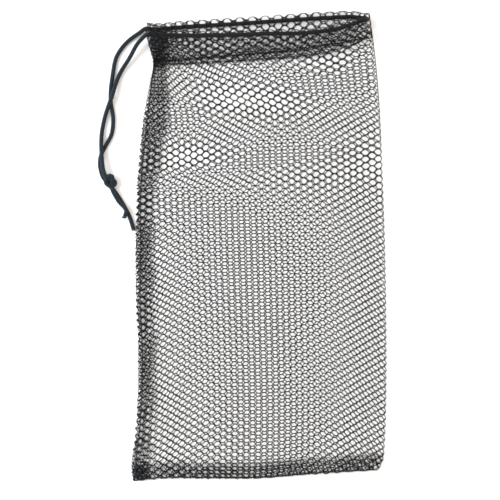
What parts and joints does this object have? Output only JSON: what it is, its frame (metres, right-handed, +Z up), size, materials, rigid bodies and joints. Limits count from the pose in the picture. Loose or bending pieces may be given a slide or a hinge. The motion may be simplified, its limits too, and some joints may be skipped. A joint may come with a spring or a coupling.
{
  "type": "mesh laundry bag",
  "caption": "Flat drawstring wash bag of dark hexagonal net with sewn side and bottom, a hemmed mouth and a knotted round cord leaving one corner.",
  "frame": {"origin": "on the table under the middle of the back panel", "axes": "+Z up off the table, +Y from the bottom seam to the mouth, +X to the folded edge, away from the cord"},
  "size_m": [0.2924, 0.48, 0.0211],
  "materials": {
    "net": "knitted polyester net, satin",
    "seam_net": "gathered double net, satin",
    "thread": "twisted polyester thread, matte",
    "cord": "round braid, satin",
    "sealed_tip": "melted braid, semi-gloss"
  },
  "bodies": {
    "bag": {"back_panel": "net", "front_panel": "net", "side_seam": "seam_net", "bottom_seam": "seam_net", "side_seam_thread": "thread", "bottom_seam_thread": "thread", "back_hem": "seam_net", "front_hem": "seam_net", "back_hem_thread": "thread", "front_hem_thread": "thread", "folded_edge": "net"},
    "mouth_corner": {"hem_corner": "seam_net"},
    "drawcord": {"cord_back_run": "cord", "cord_front_run": "cord", "cord_turn": "cord"},
    "cord_lead": {"cord_back_lead": "cord", "cord_front_lead": "cord", "knot": "cord"},
    "long_tail": {"long_tail": "cord", "long_tail_tip": "sealed_tip"},
    "short_tail": {"short_tail": "cord", "short_tail_tip": "sealed_tip"}
  },
  "joints": [
    {"name": "cord_pull", "type": "slide", "parent": "bag", "child": "drawcord", "axis": [-0.9976, -0.0694, 0], "range_m": [0, 0.11]},
    {"name": "mouth_gather", "type": "slide", "parent": "bag", "child": "mouth_corner", "axis": [-0.9976, -0.0694, 0], "range_m": [0, 0.11]},
    {"name": "lead_swing", "type": "hinge", "parent": "drawcord", "child": "cord_lead", "pos_m": [-0.11772, 0.22287, 0.01], "axis": [0, 0, 1], "range_deg": [-80, 0]},
    {"name": "long_tail_swing", "type": "hinge", "parent": "cord_lead", "child": "long_tail", "pos_m": [-0.151, 0.0613, 0.004], "axis": [0, 0, 1], "range_deg": [-40, 0]},
    {"name": "short_tail_lift", "type": "hinge", "parent": "cord_lead", "child": "short_tail", "pos_m": [-0.151, 0.0613, 0.0084], "axis": [-0.8993, -0.4374, 0], "range_deg": [0, 70]}
  ],
  "couplings": [
    {"joint": "mouth_gather", "follows": "cord_pull", "ratio": 1}
  ]
}
